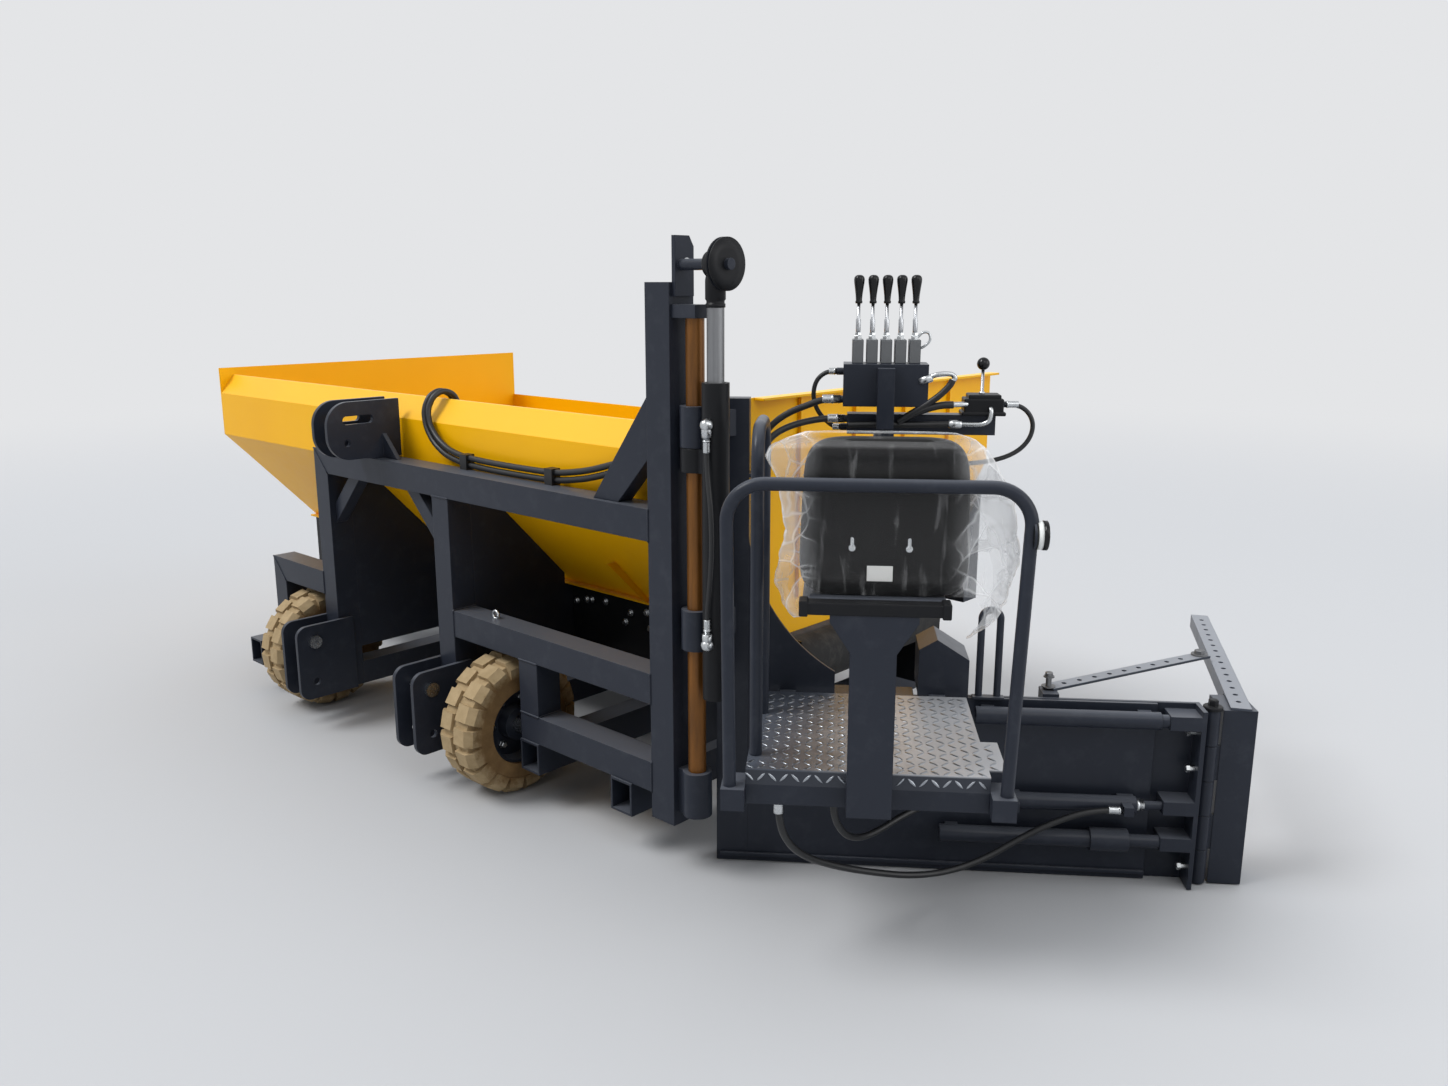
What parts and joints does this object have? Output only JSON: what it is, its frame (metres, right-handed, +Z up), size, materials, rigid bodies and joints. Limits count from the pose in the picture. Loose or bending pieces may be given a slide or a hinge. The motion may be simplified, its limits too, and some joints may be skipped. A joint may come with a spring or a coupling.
{
  "type": "road widening paver attachment",
  "caption": "Loader-carried road widener: hopper over a cross conveyor on a wheeled tube frame, with a mast that lifts and swings an operator station and extending strike-off.",
  "frame": {"origin": "middle of the machine's box, on the ground", "axes": "+X to the operator's end, +Y in the travel direction, +Z up"},
  "size_m": [4.5892, 2.3826, 1.966],
  "materials": {
    "frame_paint": "satin",
    "hopper_paint": "gloss",
    "tyre_rubber": "matte",
    "belt_rubber": "matte",
    "black_paint": "satin",
    "pivot_steel": "satin",
    "bright_steel": "brushed",
    "tread_steel": "satin",
    "seat_plastic": "matte",
    "knob_plastic": "gloss",
    "hose_rubber": "satin"
  },
  "bodies": {
    "chassis": {"conveyor_belt": "belt_rubber", "conveyor_motor": "black_paint", "conveyor_rollers": "bright_steel", "conveyor_sides": "black_paint", "cross_tubes": "frame_paint", "fork_pockets": "frame_paint", "frame_braces": "frame_paint", "frame_posts": "frame_paint", "frame_rails": "frame_paint", "hitch_ears": "frame_paint", "hitch_pins": "bright_steel", "hopper_front_wall": "hopper_paint", "hopper_left_wall": "hopper_paint", "hopper_rear_wall": "hopper_paint", "hopper_right_wall": "hopper_paint", "lift_rod": "bright_steel", "mast_fittings": "frame_paint", "mast_post": "frame_paint", "pivot_rod": "pivot_steel", "rail_hoses": "hose_rubber", "rear_webs": "frame_paint", "stub_axles": "bright_steel", "upper_hitch_plates": "frame_paint"},
    "lift_carriage": {"lift_cylinder": "black_paint", "lift_hose": "hose_rubber"},
    "station": {"station_post": "frame_paint", "strike_off": "frame_paint", "guide_tubes": "frame_paint", "deck_frame": "frame_paint", "deck": "tread_steel", "seat_post": "frame_paint", "seat_cushion": "seat_plastic", "seat_back": "seat_plastic", "railing": "frame_paint", "hand_rails": "frame_paint", "tool_box": "frame_paint", "control_column": "frame_paint", "valve_bank": "black_paint", "levers": "knob_plastic", "deck_hose": "hose_rubber", "cross_hose": "hose_rubber", "joystick_hose": "hose_rubber", "valve_hose": "hose_rubber", "feed_hose_upper": "hose_rubber", "feed_hose_lower": "hose_rubber"},
    "screed_extension": {"slide_screed": "frame_paint", "guide_rods": "bright_steel", "hinge_pin": "bright_steel"},
    "end_wing": {"end_wing": "frame_paint", "wing_bar": "bright_steel"},
    "stay_bar": {"stay_bar": "bright_steel"},
    "wheel_rear_right": {"tyre_rear_right": "tyre_rubber", "rim_rear_right": "frame_paint"},
    "wheel_rear_left": {"tyre_rear_left": "tyre_rubber", "rim_rear_left": "frame_paint"},
    "wheel_front_right": {"tyre_front_right": "tyre_rubber", "rim_front_right": "frame_paint"},
    "wheel_front_left": {"tyre_front_left": "tyre_rubber", "rim_front_left": "frame_paint"}
  },
  "joints": [
    {"name": "mast_lift", "type": "slide", "parent": "chassis", "child": "lift_carriage", "axis": [0, 0, 1], "range_m": [0, 0.2]},
    {"name": "station_swing", "type": "hinge", "parent": "lift_carriage", "child": "station", "pos_m": [0.99744, -0.80907, 0.8], "axis": [0, 0, 1], "range_deg": [-37, 5]},
    {"name": "screed_slide", "type": "slide", "parent": "station", "child": "screed_extension", "axis": [0.7986, 0.6018, 0], "range_m": [0, 0.35]},
    {"name": "wing_hinge", "type": "hinge", "parent": "screed_extension", "child": "end_wing", "pos_m": [2.18472, 0.21083, 0.3], "axis": [0, 0, 1], "range_deg": [-20, 20]},
    {"name": "stay_pivot", "type": "hinge", "parent": "screed_extension", "child": "stay_bar", "pos_m": [1.75763, -0.01334, 0.595], "axis": [0, 0, 1], "range_deg": [-9, 9]},
    {"name": "spin_rear_right", "type": "hinge", "parent": "chassis", "child": "wheel_rear_right", "pos_m": [0.01294, -0.78907, 0.255], "axis": [1, 0, 0], "continuous": true},
    {"name": "spin_rear_left", "type": "hinge", "parent": "chassis", "child": "wheel_rear_left", "pos_m": [-1.34706, -0.78907, 0.255], "axis": [1, 0, 0], "continuous": true},
    {"name": "spin_front_right", "type": "hinge", "parent": "chassis", "child": "wheel_front_right", "pos_m": [0.01294, 0.87093, 0.255], "axis": [1, 0, 0], "continuous": true},
    {"name": "spin_front_left", "type": "hinge", "parent": "chassis", "child": "wheel_front_left", "pos_m": [-1.34706, 0.87093, 0.255], "axis": [1, 0, 0], "continuous": true}
  ],
  "couplings": [
    {"joint": "stay_pivot", "follows": "wing_hinge", "ratio": 0.44}
  ]
}
